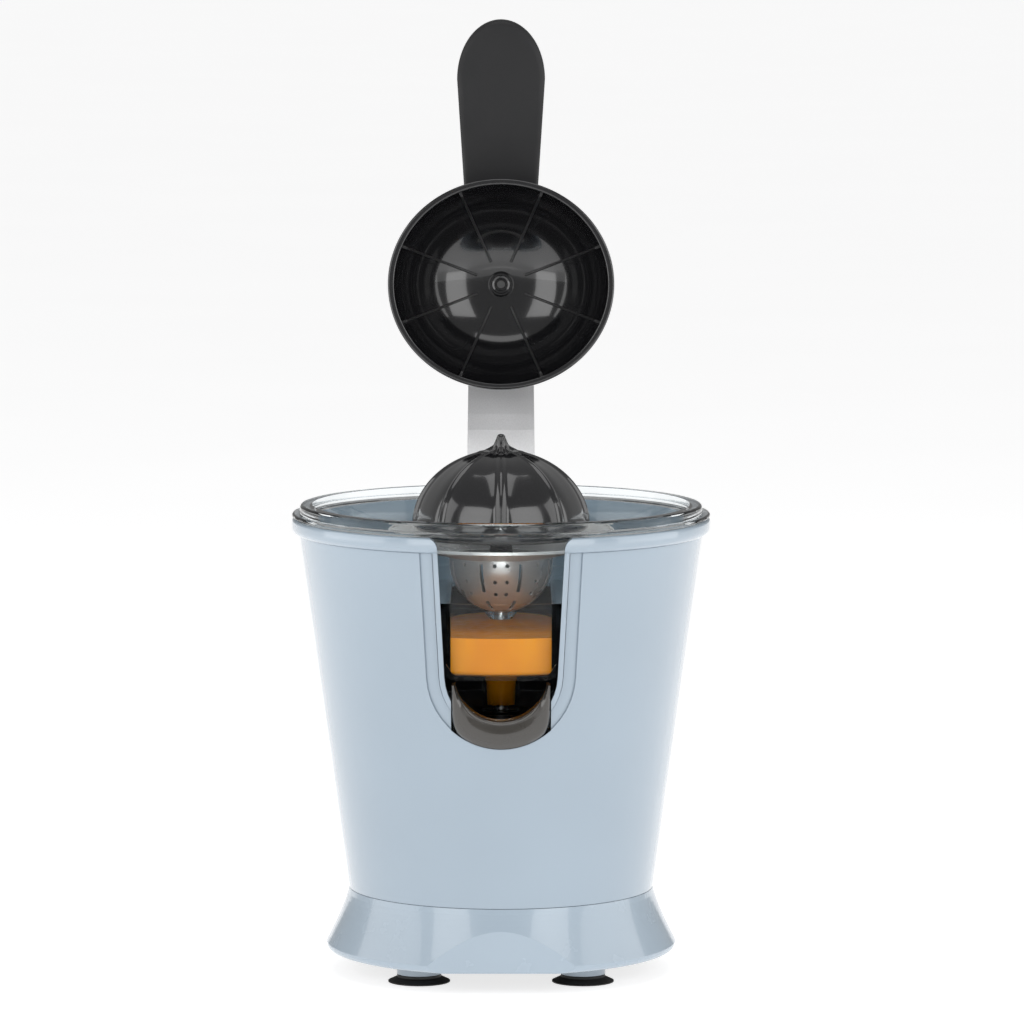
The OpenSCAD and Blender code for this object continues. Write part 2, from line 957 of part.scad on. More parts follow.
module drive_shaft() {
    color(steel) {
        shaft_section(shaft_bottom_z, shaft_step_z - 5, 0);
        translate([0, 0, shaft_step_z - 5.5])
            cylinder(h = shaft_top_z - 20 - shaft_step_z + 5.5, r = shaft_top_r);
        translate([0, 0, shaft_top_z - 20.5])
            cylinder(h = 20.5, r = shaft_hex_r, $fn = 6);
    }
}

module shaft_collar() {
    color(steel)
        translate([0, 0, base_z - 4.4])
            ring(9, shaft_r + 0.02, 2);
}

module return_spring() {
    spring_top = base_z - 4.4 - seat_gap;
    spring_bottom = switch_floor_z + 2 + seat_gap;
    turns = 4;
    pitch = (spring_top - spring_bottom) / turns;
    color(steel)
        for (i = [0:turns - 1])
            translate([0, 0, spring_bottom + i * pitch])
                rotate_extrude()
                    polygon([[5.2, pitch * 0.1], [6.4, 0], [6.4, pitch * 0.55], [5.2, pitch * 0.65]]);
    color(steel)
        translate([0, 0, spring_bottom])
            ring(5.6, 5.2, spring_top - spring_bottom);
}

module switch_bracket() {
    color(dark_grey)
        difference() {
            union() {
                translate([-9, -32, switch_floor_z])
                    cube([18, 41, 2]);
                translate([-9, -32, switch_floor_z])
                    cube([18, 2, base_z - switch_floor_z - seat_gap]);
            }
            translate([0, 0, switch_floor_z - 1])
                cylinder(h = 20, r = shaft_r + move_gap);
        }
}

module micro_switch() {
    color(black)
        difference() {
            translate([-3.2, -27, switch_floor_z + 2 + seat_gap])
                cube([6.4, 20, 6.4]);
            translate([0, -8.2, switch_floor_z + 2.9])
                cylinder(h = 10, r = 1.0 + 0.3);
            for (y = [-23, -12])
                translate([0, y, switch_floor_z + 5])
                    rotate([0, 90, 0])
                        cylinder(h = 20, r = 1.1, center = true);
        }
}

module switch_button() {
    color([0.8, 0.2, 0.2])
        translate([0, -8.2, base_z - 4.4 - 0.3 - 5])
            cylinder(h = 5, r = 1.0);
}

module terminal_block() {
    color(nylon)
        difference() {
            translate([-14, 44, plate_z + plate_t + seat_gap])
                cube([28, 12, 9]);
            for (x = [-9, 0, 9])
                translate([x, 50, plate_z + plate_t + 4])
                    cylinder(h = 10, r = 2);
        }
}

// ---- Juice container and strainer ----

module trough_solid(inset, top_z) {
    half = trough_x - inset;
    bottom = trough_z + inset;
    r = trough_corner;
    intersection() {
        cone(bottom, top_z, cont_inset + trough_step + inset);
        to_front(-trough_x - 1, rim_r)
            polygon(concat(arc(-half + r, bottom + r, r, 180, 270, 6),
                arc(half - r, bottom + r, r, -90, 0, 6), [[half, rim_z], [-half, rim_z]]));
        linear_extrude(rim_z)
            polygon(concat([[-half, -rim_r], [half, -rim_r]], arc(0, 0, half, 0, 180, 16)));
    }
}

module container_walls() {
    inner = shell_r(flange_z) - cont_inset - clear_wall - 1;
    difference() {
        union() {
            cone(cont_floor_z - clear_wall, flange_z + 0.5, cont_inset);
            rotate_extrude()
                polygon(concat([[inner, flange_z], [rim_r - 0.8, flange_z]],
                    arc(rim_r - 1, flange_z + 1.2, 1, -60, 90, 5), [[rim_r - 3.4, flange_z + 2.2]],
                    arc(rim_r - 5, flange_z + flange_h - 1.4, 1.4, 0, 90, 4),
                    [[inner, flange_z + flange_h]]));
            trough_solid(0, cont_floor_z - 0.5);
            translate([0, 0, well_bottom_z])
                cylinder(h = trough_z - well_bottom_z + 1, r1 = well_bottom_r, r2 = well_top_r);
        }
        cone(cont_floor_z, rim_top_z + 30, cont_inset + clear_wall);
        trough_solid(clear_wall, cont_floor_z + 1);
        translate([0, 0, well_bottom_z + 1.6])
            cylinder(h = trough_z - well_bottom_z + 2, r1 = well_bottom_r - 1.6,
                r2 = well_top_r - 1.6);
    }
}

module juice_container() {
    color(clear)
        difference() {
            union() {
                container_walls();
                translate([0, 0, well_bottom_z + 0.8])
                    cylinder(h = tower_top_z - well_bottom_z - 0.8, r = tower_r);
                translate([0, 0, bowl_bottom_z - 3.4])
                    cylinder(h = 3, r1 = tower_r - 0.4, r2 = strainer_seat_r);
            }
            translate([0, 0, well_bottom_z - 1])
                cylinder(h = far, r = tower_bore_r);
        }
}

module strainer() {
    bowl_top = bowl_z + 3;
    color(steel)
        difference() {
            union() {
                rotate_extrude()
                    difference() {
                        intersection() {
                            translate([0, bowl_z])
                                circle(bowl_r);
                            translate([tower_r + 0.4, bowl_bottom_z])
                                square([far, bowl_top - bowl_bottom_z]);
                        }
                        translate([0, bowl_z])
                            circle(bowl_r - sheet);
                    }
                rotate_extrude()
                    polygon([
                        [bowl_r - sheet - 0.3, bowl_top - sheet], [bowl_r + 1, bowl_top - sheet],
                        [strainer_r - 4, strainer_z - sheet], [strainer_r, strainer_z - sheet],
                        [strainer_r, strainer_z + 0.6], [strainer_r - 1, strainer_z + 0.6],
                        [strainer_r - 1, strainer_z], [strainer_r - 4, strainer_z],
                        [bowl_r + 1, bowl_top], [bowl_r - sheet - 0.3, bowl_top]]);
            }
            for (a = [22.5:45:337.5])
                rotate([0, 0, a]) {
                    translate([bowl_r * 0.5, -slot_w / 2, bowl_z - 12.3])
                        cube([bowl_r, slot_w, 13]);
                    translate([9, -slot_w / 2, bowl_bottom_z - 1])
                        cube([7.5, slot_w, 9]);
                }
            for (a = [0:90:270])
                for (da = [-7, 7, 45])
                    for (dz = [0, -7.6, -13.4])
                        rotate([0, 0, a + da])
                            translate([9, 0, bowl_z + dz])
                                rotate([0, 90, 0])
                                    cylinder(h = 20, r = 0.9);
        }
}

// ---- Reamer ----

module drive_hub() {
    color(dark_grey)
        difference() {
            union() {
                translate([0, 0, hub_z])
                    cylinder(h = hub_h, r = hub_r, $fn = 6);
                translate([0, 0, hub_z])
                    cylinder(h = 2.4, r = hub_r + 0.3);
            }
            translate([0, 0, hub_z - 1])
                cylinder(h = shaft_top_z - hub_z + 1 + move_gap, r = shaft_hex_r + 0.35, $fn = 6);
        }
}

// The reamer's envelope in section, set in by inset: a straight foot under an ellipse
function reamer_section(inset) = concat([[reamer_r - inset, 0]],
    [for (i = [0:11]) let (a = 7.5 * i) [(reamer_r - inset) * cos(a),
        reamer_foot_h + (reamer_dome_h - inset) * sin(a)]]);
function reversed(list) = [for (i = [len(list) - 1:-1:0]) list[i]];

module reamer() {
    top = reamer_foot_h + reamer_dome_h;
    spire_h = spire_z - reamer_z;
    socket_r = hub_r + 0.7;
    socket_h = hub_z + hub_h + move_gap - reamer_z;
    color(black)
        translate([0, 0, reamer_z]) {
            rotate_extrude()
                polygon(concat(reamer_section(panel_depth),
                    [[4.5, top], [1.9, spire_h - 1.5], [1, spire_h], [0, spire_h], [0, socket_h],
                     [socket_r, socket_h], [socket_r, 1], [socket_r + 2.6, 1],
                     [socket_r + 2.6, socket_h + 2]],
                    reversed(reamer_section(panel_depth + reamer_wall))));
            intersection() {
                rotate_extrude()
                    polygon(concat(reamer_section(0), reversed(reamer_section(panel_depth + 1))));
                for (a = [0:45:315])
                    rotate([0, 0, a])
                        translate([6, -rib_w / 2, -1])
                            cube([far, rib_w, far]);
            }
        }
}

// ---- Lever arm ----

// Places a piece drawn at the closed position at the open rest position
module opened() {
    translate([0, hinge_y, hinge_z])
        rotate([-arm_swing, 0, 0])
            translate([0, -hinge_y, -hinge_z])
                children();
}

arm_low = [[arm_t / 2 + 15, 6], [arm_t / 2 + 15, arm_reach * 0.44],
    [arm_back, arm_reach * 0.48], [arm_back, arm_reach]];
arm_high = [[arm_back, arm_reach], [arm_back, arm_reach + 30],
    [arm_back - 8, arm_reach + 48], [arm_back - 11, arm_reach + 68]];

// The arm's side outline in YZ from the hinge axis, thinned by inset on each face
module arm_side(inset, steps = 12) {
    half = arm_t / 2 - inset;
    path = concat([for (i = [0:steps]) [bezier(arm_low, i / steps), slope(arm_low, i / steps)]],
        [for (i = [1:steps]) [bezier(arm_high, i / steps), slope(arm_high, i / steps)]]);
    front = [for (p = path) p[0] + half * [-p[1][1], p[1][0]]];
    back = [for (i = [len(path) - 1:-1:0]) path[i][0] - half * [-path[i][1][1], path[i][1][0]]];
    polygon(concat(front, back));
}

module arm_width(extra) {
    to_front(-far, far)
        polygon([
            [-arm_w / 2 - extra, -20], [arm_w / 2 + extra, -20],
            [arm_w / 2 + extra, 20], [arm_w / 2 - 2 + extra, arm_reach + 80],
            [-arm_w / 2 + 2 - extra, arm_reach + 80], [-arm_w / 2 - extra, 20]]);
}

module at_hinge() {
    translate([0, hinge_y, hinge_z])
        children();
}

module arm_frame() {
    color(silver)
        at_hinge()
            difference() {
                intersection() {
                    union() {
                        across(arm_w)
                            arm_side(0);
                        across(arm_w)
                            polygon([[0, -knuckle_r], [arm_t + 15, -knuckle_r],
                                [arm_t + 15, 7], [0, 7]]);
                        rotate([0, 90, 0])
                            cylinder(h = arm_w, r = knuckle_r, center = true);
                    }
                    arm_width(0);
                }
                difference() {
                    translate([0, arm_wall, 0])
                        across(arm_w - 2 * arm_wall - 3)
                            arm_side(0);
                    translate([-far, -far, -far])
                        cube([2 * far, 2 * far, far + 14]);
                    translate([-far, -far, arm_reach + 44])
                        cube([2 * far, 2 * far, far]);
                    translate([0, 0, arm_reach])
                        rotate([90, 0, 0])
                            cylinder(h = far, r = 9, center = true);
                }
                rotate([0, 90, 0])
                    cylinder(h = far, r = pin_r + run_gap, center = true);
                translate([0, -hinge_y, -hinge_z])
                    dome_screw_hole();
                for (s = [-1, 1])
                    translate([s * 8, 0, arm_reach + 58])
                        rotate([90, 0, 0])
                            cylinder(h = far, r = 1.6, center = true);
            }
}

module arm_cover() {
    color(dark_grey)
        at_hinge()
            difference() {
                intersection() {
                    translate([0, arm_wall + 5, 0])
                        across(arm_w - 2 * arm_wall - 3 - 2 * seat_gap)
                            arm_side(arm_t / 2 - 0.9);
                    translate([-far, -far, 18])
                        cube([2 * far, 2 * far, arm_reach + 22]);
                }
                translate([0, 0, arm_reach])
                    rotate([90, 0, 0])
                        cylinder(h = far, r = 9 + seat_gap, center = true);
            }
}

module press_dome() {
    color(black)
        opened()
            difference() {
                translate([0, 0, dome_rim_z])
                    difference() {
                        dome_solid(0, 0);
                        dome_solid(dome_wall, -1);
                    }
                translate([0, 0, dome_rim_z + dome_depth - 8])
                    cylinder(h = 20, r = 2.1);
            }
    color(black)
        opened()
            for (a = [22.5:45:337.5])
                rotate([0, 0, a])
                    translate([0, 0, dome_rim_z])
                        rotate([90, 0, 0])
                            translate([0, 0, -0.5])
                                linear_extrude(1)
                                    polygon(dome_rib());
    color(black)
        opened()
            difference() {
                translate([0, 0, dome_rim_z + dome_depth - 5.2])
                    cylinder(h = 3.5, r = 5.6);
                translate([0, 0, dome_rim_z + dome_depth - 8])
                    cylinder(h = 20, r = 2.1);
            }
}

// The dome's oval envelope with a flattened crown, set in by inset
module dome_solid(inset, low) {
    n = 10;
    hull()
        scale([1, dome_flat, 1])
            rotate_extrude($fn = 40)
                polygon(concat([[0, low], [dome_r - inset, low]],
                    [for (i = [0:n - 1]) let (a = 90 * i / n)
                        [(dome_r - inset) * pow(cos(a), 0.8), (dome_depth - inset) * pow(sin(a), 0.9)]],
                    [[0, dome_depth - inset]]));
}

function dome_rib() = let (
    wall = [for (i = [2:12]) let (a = 90 * i / 14)
        [dome_flat * (dome_r - dome_wall / 2) * pow(cos(a), 0.8),
         (dome_depth - dome_wall / 2) * pow(sin(a), 0.9)]])
    concat(wall, [for (i = [10:-1:0]) wall[i] * 0.94]);

module dome_screw_hole() {
    opened()
        translate([0, 0, dome_rim_z + dome_depth - 8])
            cylinder(h = 40, r = 2.1);
}

module dome_seat() {
    color(black)
        opened()
            translate([0, 0, dome_rim_z + dome_depth + 0.1])
                ring(7, 2.1, 0.8);
}

module dome_screw() {
    color(steel)
        opened()
            translate([0, 0, dome_rim_z + dome_depth - 8])
                cylinder(h = 20, r = 1.9);
}

module handle_outline(inset) {
    base = handle_low;
    top = handle_tip - handle_end;
    polygon(concat([[-17.5 + inset, base], [17.5 - inset, base]],
        [for (i = [0:24]) let (a = 180 * i / 24)
            [(handle_x - inset) * cos(a), top + (handle_end - inset) * sin(a)]]));
}

module handle() {
    middle = arm_back - 9;
    color(dark_grey)
        at_hinge()
            difference() {
                translate([0, middle + handle_t / 2, 0])
                    rotate([90, 0, 0])
                        linear_extrude(handle_t)
                            handle_outline(0);
                intersection() {
                    across(far)
                        arm_side(-seat_gap - 0.2);
                    arm_width(seat_gap);
                    translate([-far, -far, -far])
                        cube([2 * far, 2 * far, far + arm_reach + 71]);
                }
                for (s = [-1, 1])
                    translate([s * 8, middle - 0.1, arm_reach + 58])
                        rotate([-90, 0, 0])
                            cylinder(h = far, r = 1.8);
            }
}

module handle_screws() {
    color(steel)
        at_hinge()
            for (s = [-1, 1])
                translate([s * 8, arm_back - 14, arm_reach + 58])
                    rotate([-90, 0, 0])
                        cylinder(h = 12, r = 1.4);
}

outer_shell();
rim_liner();
base_skirt();
bottom_plate();
foot_collars();
suction_cups();
foot_screws();
base_screws();
cord_gland();
motor_deck();
shaft_seal();
pour_spout();
hinge_bracket();
bracket_screws();
hinge_pin();
pin_caps();
gearbox_base();
gearbox_cover();
gearbox_screws();
output_bushes();
idler_axle();
output_gear();
idler_gear();
pinion_gear();
motor_stator();
field_coils();
upper_bridge();
lower_bridge();
motor_bearings();
motor_screws();
motor_spacers();
motor_grommets();
brush_holders();
rotor_shaft();
rotor_core();
commutator();
cooling_fan();
drive_shaft();
shaft_collar();
return_spring();
switch_bracket();
micro_switch();
switch_button();
terminal_block();
juice_container();
strainer();
drive_hub();
reamer();
arm_frame();
arm_cover();
press_dome();
dome_seat();
dome_screw();
handle();
handle_screws();
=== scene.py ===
import json
import math

import bmesh
import bpy
from mathutils import Matrix, Vector


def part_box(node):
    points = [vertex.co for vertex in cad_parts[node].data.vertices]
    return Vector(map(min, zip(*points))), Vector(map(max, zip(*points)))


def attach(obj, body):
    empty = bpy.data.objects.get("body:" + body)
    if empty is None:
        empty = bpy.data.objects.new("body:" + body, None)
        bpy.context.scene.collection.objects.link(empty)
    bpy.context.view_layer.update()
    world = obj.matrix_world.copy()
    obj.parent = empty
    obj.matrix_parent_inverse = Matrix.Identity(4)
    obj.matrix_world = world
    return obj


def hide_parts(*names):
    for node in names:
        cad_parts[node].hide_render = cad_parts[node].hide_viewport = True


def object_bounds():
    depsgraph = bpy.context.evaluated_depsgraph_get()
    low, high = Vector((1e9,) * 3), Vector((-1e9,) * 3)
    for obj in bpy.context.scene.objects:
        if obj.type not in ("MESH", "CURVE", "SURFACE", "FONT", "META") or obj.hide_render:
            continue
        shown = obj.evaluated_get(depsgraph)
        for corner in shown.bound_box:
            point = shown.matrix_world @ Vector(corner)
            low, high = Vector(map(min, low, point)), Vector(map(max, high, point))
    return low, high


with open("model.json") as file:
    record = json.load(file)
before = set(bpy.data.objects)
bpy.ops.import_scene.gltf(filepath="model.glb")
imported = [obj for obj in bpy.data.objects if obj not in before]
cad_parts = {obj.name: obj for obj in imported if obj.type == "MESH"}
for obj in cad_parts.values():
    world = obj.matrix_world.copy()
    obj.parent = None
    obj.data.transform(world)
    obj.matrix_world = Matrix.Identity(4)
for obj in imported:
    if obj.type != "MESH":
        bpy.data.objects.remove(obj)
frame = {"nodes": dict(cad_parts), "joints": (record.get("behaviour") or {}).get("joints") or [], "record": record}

# Looks of the citrus press juicer. Shapes are worked out in millimetres from the
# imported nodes' boxes, in the model's own frame, and turned to metres when a mesh is made.
MM = 0.001
cad_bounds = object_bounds()


def box(node):
    """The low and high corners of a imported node's box, in millimetres."""
    low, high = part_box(node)
    return low / MM, high / MM


shell_low, shell_high = box("outer_shell")
liner_high = box("rim_liner")[1]
container_low = box("juice_container")[0]
handle_low, handle_high = box("handle")
reamer_low, reamer_high = box("reamer")
spout_low, spout_high = box("pour_spout")
pin_low, pin_high = box("hinge_pin")

RIM_R = liner_high.x
RIM_TOP = liner_high.z
RIM_Z = shell_high.z
SEAM_Z = shell_low.z
SHELL_TOP_R = shell_high.x
# The shell's radius at the seam, where it stands on the skirt
SHELL_BASE_R = 69.3
SHELL_LEAN = (SHELL_TOP_R - SHELL_BASE_R) / (RIM_Z - SEAM_Z)
HINGE_Y = (pin_low.y + pin_high.y) / 2
HINGE_Z = (pin_low.z + pin_high.z) / 2
ARM_HINGE = next(j for j in frame["joints"] if j["name"] == "arm_hinge")
SWING = math.radians(ARM_HINGE["range_deg"][0])


def shell_r(z):
    """The body's outer radius at a height."""
    return SHELL_BASE_R + (z - SEAM_Z) * SHELL_LEAN


def smooth(t):
    """An S-curve from 0 to 1."""
    t = min(1.0, max(0.0, t))
    return t * t * (3 - 2 * t)


def arc(x, y, r, start, end, steps=8):
    """Points of an arc around (x, y), from start to end in degrees."""
    angles = [math.radians(start + (end - start) * i / steps) for i in range(steps + 1)]
    return [(x + r * math.cos(a), y + r * math.sin(a)) for a in angles]


# ---- meshes -------------------------------------------------------------------------------


def loft(rows, closed=False, cap_first=False, cap_last=False):
    """Points and faces of a surface through rows of as many points each."""
    width = len(rows[0])
    points = [p for row in rows for p in row]
    faces = []
    for i in range(len(rows) - 1):
        for j in range(width if closed else width - 1):
            k = (j + 1) % width
            faces.append((i * width + j, i * width + k, (i + 1) * width + k, (i + 1) * width + j))
    if cap_first:
        faces.append(tuple(range(width)))
    if cap_last:
        faces.append(tuple(range((len(rows) - 1) * width, len(rows) * width)))
    return points, faces


def lathe(profile, steps, squeeze=1.0):
    """A surface of revolution of (radius, height) points, squeezed along Y."""
    turns = [2 * math.pi * j / steps for j in range(steps)]
    rows = [[(r * math.cos(a), squeeze * r * math.sin(a), z) for a in turns] for r, z in profile]
    return loft(rows, closed=True)


def prism(outline, low, high):
    """An upright slab whose outline is in X and Z, from Y = low to Y = high."""
    rows = [[(x, y, z) for x, z in outline] for y in (low, high)]
    return loft(rows, closed=True, cap_first=True, cap_last=True)


def piece(name, shape, body, material, stands_for=(), sharp=35, matrix=None):
    """A mesh object of the given points and faces, riding on a body."""
    points, faces = shape
    mesh = bpy.data.meshes.new(name)
    mesh.from_pydata([tuple(c * MM for c in p) for p in points], [], faces)
    build = bmesh.new()
    build.from_mesh(mesh)
    bmesh.ops.remove_doubles(build, verts=build.verts, dist=0.002 * MM)
    bmesh.ops.dissolve_degenerate(build, edges=build.edges, dist=0.001 * MM)
    bmesh.ops.recalc_face_normals(build, faces=build.faces)
    build.to_mesh(mesh)
    build.free()
    if matrix is not None:
        mesh.transform(matrix)
    mesh.shade_smooth()
    mesh.set_sharp_from_angle(angle=math.radians(sharp))
    mesh.materials.append(material)
    made = bpy.data.objects.new(name, mesh)
    bpy.context.scene.collection.objects.link(made)
    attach(made, body)
    if stands_for:
        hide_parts(*stands_for)
    return made


def joined(*shapes):
    """Several shapes as one list of points and one of faces."""
    points = []
    faces = []
    for some_points, some_faces in shapes:
        start = len(points)
        points += some_points
        faces += [tuple(start + i for i in face) for face in some_faces]
    return points, faces


# ---- materials ----------------------------------------------------------------------------


class Tree:
    """A material's node tree with short calls for what the finishes share."""

    def __init__(self, name):
        self.material = bpy.data.materials.new(name)
        self.material.use_nodes = True
        self.nodes = self.material.node_tree.nodes
        self.links = self.material.node_tree.links
        self.shader = self.nodes["Principled BSDF"]
        self.place = self.add("ShaderNodeTexCoord").outputs["Object"]

    def add(self, kind, **settings):
        """A new node of a kind, with its settings."""
        node = self.nodes.new(kind)
        for key, value in settings.items():
            setattr(node, key, value)
        return node

    def noise(self, scale, detail, stretch=None):
        """Noise around 0.5, in the piece's own coordinates."""
        place = self.place
        if stretch:
            mapping = self.add("ShaderNodeMapping")
            mapping.inputs["Scale"].default_value = stretch
            self.links.new(place, mapping.inputs["Vector"])
            place = mapping.outputs["Vector"]
        noise = self.add("ShaderNodeTexNoise")
        noise.inputs["Scale"].default_value = scale
        noise.inputs["Detail"].default_value = detail
        self.links.new(place, noise.inputs["Vector"])
        return noise.outputs["Fac"]

    def spread(self, value, low, high):
        """value, from 0.35 to 0.65, spread from low to high."""
        ranged = self.add("ShaderNodeMapRange")
        ranged.inputs["From Min"].default_value = 0.35
        ranged.inputs["From Max"].default_value = 0.65
        ranged.inputs["To Min"].default_value = low
        ranged.inputs["To Max"].default_value = high
        self.links.new(value, ranged.inputs["Value"])
        return ranged.outputs["Result"]

    def mix(self, share, first, second):
        """A colour between two, each a colour or a socket."""
        mix = self.add("ShaderNodeMix", data_type="RGBA")
        self.links.new(share, mix.inputs["Factor"])
        for socket, value in (("A", first), ("B", second)):
            slots = [i for i in mix.inputs if i.name == socket and i.type == "RGBA"]
            if isinstance(value, tuple):
                slots[0].default_value = (*value, 1)
            else:
                self.links.new(value, slots[0])
        return [o for o in mix.outputs if o.type == "RGBA"][0]

    def bump(self, height, strength, depth, base=None):
        """A normal for relief of a depth in millimetres, over another normal if there is one."""
        bump = self.add("ShaderNodeBump")
        bump.inputs["Strength"].default_value = strength
        bump.inputs["Distance"].default_value = depth * MM
        self.links.new(height, bump.inputs["Height"])
        if base is not None:
            self.links.new(base, bump.inputs["Normal"])
        return bump.outputs["Normal"]

    def worn_edges(self, width):
        """1 along edges and 0 elsewhere, and the normal that rounds them."""
        bevel = self.add("ShaderNodeBevel", samples=4)
        bevel.inputs["Radius"].default_value = width * MM
        plain = self.add("ShaderNodeNewGeometry")
        dot = self.add("ShaderNodeVectorMath", operation="DOT_PRODUCT")
        self.links.new(bevel.outputs["Normal"], dot.inputs[0])
        self.links.new(plain.outputs["Normal"], dot.inputs[1])
        ranged = self.add("ShaderNodeMapRange")
        ranged.inputs["From Min"].default_value = 0.995
        ranged.inputs["From Max"].default_value = 0.90
        self.links.new(dot.outputs["Value"], ranged.inputs["Value"])
        return ranged.outputs["Result"], bevel.outputs["Normal"]

    def set(self, **values):
        """Constants on the shader's own sockets."""
        for key, value in values.items():
            self.shader.inputs[key.replace("_", " ")].default_value = value


def shade(colour, factor):
    """A colour made darker or lighter."""
    return tuple(min(1.0, c * factor) for c in colour)


PLASTIC_EDGE = 0.35
METAL_EDGE = 0.25
BRUSH_SCALE = 320


def moulded(name, colour, rough, coat=0.0, grain=0.12, grain_size=700, wear=1.10, shine=0.5):
    """Moulded plastic: fine grain, slow colour drift, uneven gloss and lighter rounded edges."""
    tree = Tree(name)
    drift = tree.noise(9, 2)
    colours = tree.mix(tree.spread(drift, 0, 1), shade(colour, 0.97), shade(colour, 1.03))
    edges, rounded = tree.worn_edges(PLASTIC_EDGE)
    tree.links.new(tree.mix(edges, colours, shade(colour, wear)), tree.shader.inputs["Base Color"])
    gloss = tree.spread(tree.noise(55, 4), rough * 0.85, rough * 1.2)
    tree.links.new(gloss, tree.shader.inputs["Roughness"])
    tree.links.new(tree.bump(tree.noise(grain_size, 2), grain, 0.05, rounded), tree.shader.inputs["Normal"])
    tree.set(Specular_IOR_Level=shine)
    if coat:
        tree.set(Coat_Weight=coat, Coat_Roughness=0.05)
    return tree.material


def metal(name, colour, rough, brushed=(1, 1, 6), scratch=0.04, metallic=1.0):
    """Metal with brush marks along one axis, uneven roughness and bright worn edges."""
    tree = Tree(name)
    marks = tree.noise(BRUSH_SCALE, 3, stretch=brushed)
    colours = tree.mix(tree.spread(marks, 0, 1), shade(colour, 0.965), shade(colour, 1.03))
    edges, rounded = tree.worn_edges(METAL_EDGE)
    tree.links.new(tree.mix(edges, colours, shade(colour, 1.2)), tree.shader.inputs["Base Color"])
    gloss = tree.spread(tree.noise(40, 4), rough * 0.88, rough * 1.14)
    tree.links.new(gloss, tree.shader.inputs["Roughness"])
    tree.links.new(tree.bump(marks, scratch, 0.02, rounded), tree.shader.inputs["Normal"])
    tree.set(Metallic=metallic)
    return tree.material


CLEAR_ROUGH = 0.02


def clear(name, colour):
    """Clear plastic with light scuffs, which lets the studio light through to what it holds."""
    tree = Tree(name)
    tint = tree.mix(tree.spread(tree.noise(12, 2), 0, 1), shade(colour, 0.985), shade(colour, 1.0))
    tree.links.new(tint, tree.shader.inputs["Base Color"])
    gloss = tree.spread(tree.noise(240, 4), CLEAR_ROUGH * 0.5, CLEAR_ROUGH * 1.8)
    tree.links.new(gloss, tree.shader.inputs["Roughness"])
    tree.links.new(tree.bump(tree.noise(14, 1), 0.02, 0.02), tree.shader.inputs["Normal"])
    tree.set(Transmission_Weight=1.0, IOR=1.24)
    let_through = tree.add("ShaderNodeBsdfTransparent")
    let_through.inputs["Color"].default_value = (*shade(colour, 0.97), 1)
    path = tree.add("ShaderNodeLightPath")
    lighting = tree.add("ShaderNodeMath", operation="MAXIMUM")
    tree.links.new(path.outputs["Is Shadow Ray"], lighting.inputs[0])
    tree.links.new(path.outputs["Is Diffuse Ray"], lighting.inputs[1])
    mixed = tree.add("ShaderNodeMixShader")
    tree.links.new(lighting.outputs["Value"], mixed.inputs["Fac"])
    tree.links.new(tree.shader.outputs["BSDF"], mixed.inputs[1])
    tree.links.new(let_through.outputs["BSDF"], mixed.inputs[2])
    tree.links.new(mixed.outputs["Shader"], tree.nodes["Material Output"].inputs["Surface"])
    return tree.material


def smoked(name, colour):
    """Smoked plastic: dark, glossy and only a little clear."""
    tree = Tree(name)
    tint = tree.mix(tree.spread(tree.noise(30, 2), 0, 1), shade(colour, 0.93), shade(colour, 1.07))
    tree.links.new(tint, tree.shader.inputs["Base Color"])
    tree.links.new(tree.spread(tree.noise(180, 4), 0.05, 0.10), tree.shader.inputs["Roughness"])
    tree.links.new(tree.bump(tree.noise(500, 2), 0.02, 0.03), tree.shader.inputs["Normal"])
    tree.set(Transmission_Weight=0.15, IOR=1.5, Coat_Weight=0.6, Coat_Roughness=0.04)
    return tree.material


def pressed_juice():
    """Cloudy orange juice, paler and deeper where the pulp drifts."""
    tree = Tree("pressed_juice")
    cloud = tree.mix(tree.spread(tree.noise(60, 4, stretch=(1, 1, 0.3)), 0, 1),
                     (0.74, 0.235, 0.001), (0.84, 0.300, 0.003))
    tree.links.new(cloud, tree.shader.inputs["Base Color"])
    tree.links.new(tree.spread(tree.noise(300, 3), 0.30, 0.45), tree.shader.inputs["Roughness"])
    tree.links.new(tree.bump(tree.noise(300, 3), 0.05, 0.05), tree.shader.inputs["Normal"])
    tree.set(Subsurface_Weight=0.15, Subsurface_Radius=(0.006, 0.003, 0.001), IOR=1.33)
    return tree.material


